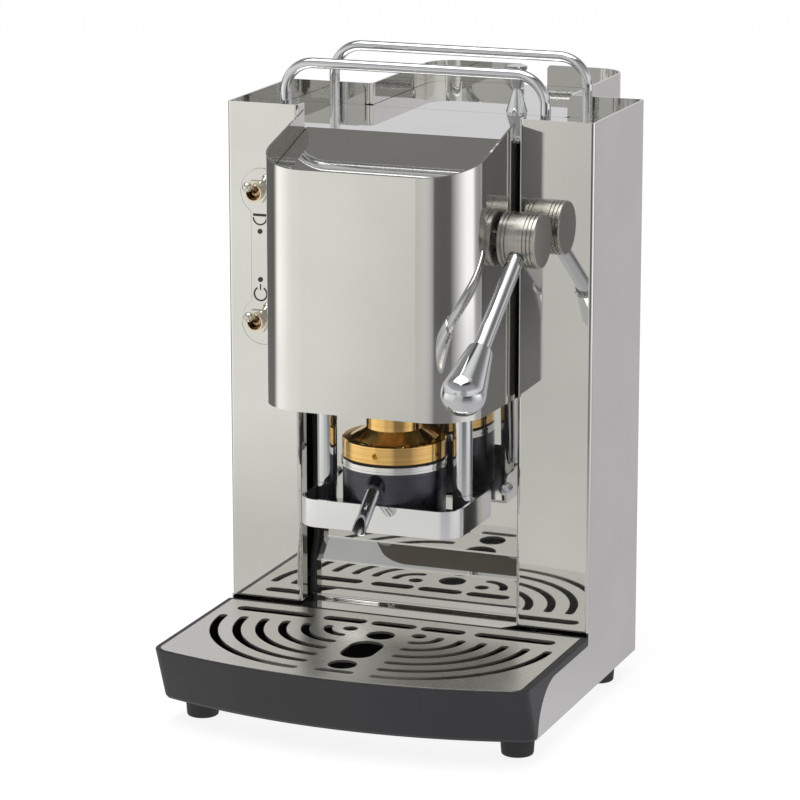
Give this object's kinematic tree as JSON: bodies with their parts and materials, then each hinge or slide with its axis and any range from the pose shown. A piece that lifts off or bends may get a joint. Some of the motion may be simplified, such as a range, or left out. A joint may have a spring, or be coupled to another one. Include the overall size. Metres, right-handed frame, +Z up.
{
  "type": "pod espresso machine",
  "caption": "Countertop espresso machine for paper pods: polished steel body, raised by a side lever, with a spout over a slotted drip tray, cup rails and switches.",
  "frame": {"origin": "on the floor under the middle of the whole machine, feet to rear wall and side to side", "axes": "+X to the right seen from the front, +Y to the back, +Z up"},
  "size_m": [0.222, 0.325, 0.3665],
  "materials": {
    "mirror_steel": "mirror polished stainless sheet",
    "bright_steel": "polished stainless rod and turned parts",
    "satin_steel": "satin stainless sheet",
    "plate_steel": "polished and laser cut stainless",
    "zinc_steel": "zinc plated",
    "brass": "turned and polished brass",
    "black_plastic": "moulded, slight sheen",
    "tray_plastic": "moulded, fine grain",
    "switch_plastic": "moulded",
    "lamp": "smoked lens",
    "rubber": "matt",
    "tank_plastic": "clear moulding",
    "hose_silicone": "translucent silicone",
    "boiler_metal": "machined",
    "cast_aluminium": "machined",
    "wire_sleeve": "woven sleeve"
  },
  "bodies": {
    "frame": {"casing_left": "mirror_steel", "casing_right": "mirror_steel", "rear_wrap": "mirror_steel", "rear_floor": "satin_steel", "base_plate": "satin_steel", "chassis_wall": "satin_steel", "niche_panel": "mirror_steel", "niche_bolts": "bright_steel", "niche_seal": "rubber", "hood": "mirror_steel", "top_panel": "mirror_steel", "lid_ledge": "satin_steel", "rail_nuts": "zinc_steel", "feet": "rubber", "foot_screws": "zinc_steel", "pod_bracket": "mirror_steel", "columns": "bright_steel", "column_nuts": "zinc_steel", "column_screws": "zinc_steel", "pod_holder": "black_plastic", "pod_seat_ring": "bright_steel", "pod_spout": "bright_steel", "head_plate": "satin_steel", "bearing_blocks": "cast_aluminium", "switch_bodies": "switch_plastic", "switch_nuts": "bright_steel", "toggle_pins": "zinc_steel", "indicator_lenses": "lamp", "pump": "switch_plastic", "pump_mounts": "rubber", "suction_hose": "hose_silicone", "pressure_hose": "hose_silicone", "feed_tube": "hose_silicone", "inlet_socket": "switch_plastic", "casing_screws": "bright_steel", "switch_wires": "wire_sleeve", "rail_front": "bright_steel", "rail_rear": "bright_steel"},
    "lever": {"lever_shaft": "bright_steel", "lever_hub": "bright_steel", "lever_rod": "bright_steel", "lever_handle": "bright_steel"},
    "brew_group": {"brew_head": "brass", "head_gasket": "rubber", "shower_screen": "satin_steel", "carrier_plate": "satin_steel", "guide_bushes": "brass", "boiler": "boiler_metal", "boiler_bolts": "zinc_steel", "heater_band": "satin_steel", "thermostats": "switch_plastic", "crank_yoke": "satin_steel"},
    "brew_toggle": {"toggle_brew": "bright_steel"},
    "power_toggle": {"toggle_power": "bright_steel"},
    "drip_tray": {"drip_tray": "tray_plastic"},
    "drip_plate": {"drip_plate": "plate_steel"},
    "tank_lid": {"tank_lid": "mirror_steel", "lid_knob": "bright_steel"},
    "water_tank": {"water_tank": "tank_plastic"}
  },
  "joints": [
    {"name": "lever_hinge", "type": "hinge", "parent": "frame", "child": "lever", "pos_m": [0.0764, -0.056, 0.277], "axis": [-1, 0, 0], "range_deg": [0, 95]},
    {"name": "group_lift", "type": "slide", "parent": "frame", "child": "brew_group", "axis": [0, 0, 1], "range_m": [0, 0.014], "deforming": ["feed_tube"]},
    {"name": "brew_switch", "type": "hinge", "parent": "frame", "child": "brew_toggle", "pos_m": [-0.092, -0.035, 0.2893], "axis": [1, 0, 0], "range_deg": [0, 39.4]},
    {"name": "power_switch", "type": "hinge", "parent": "frame", "child": "power_toggle", "pos_m": [-0.092, -0.035, 0.2139], "axis": [1, 0, 0], "range_deg": [0, 39.4]},
    {"name": "tray_slide", "type": "slide", "parent": "frame", "child": "drip_tray", "axis": [0, -1, 0], "range_m": [0, 0.13]},
    {"name": "plate_lift", "type": "slide", "parent": "drip_tray", "child": "drip_plate", "axis": [0, 0, 1], "range_m": [0, 0.05]},
    {"name": "lid_lift", "type": "slide", "parent": "frame", "child": "tank_lid", "axis": [0, 0, 1], "range_m": [0, 0.06]},
    {"name": "tank_lift", "type": "slide", "parent": "frame", "child": "water_tank", "axis": [0, 0, 1], "range_m": [0, 0.022]}
  ],
  "couplings": [
    {"joint": "group_lift", "follows": "lever_hinge", "m_per_rad": 0.00844}
  ]
}
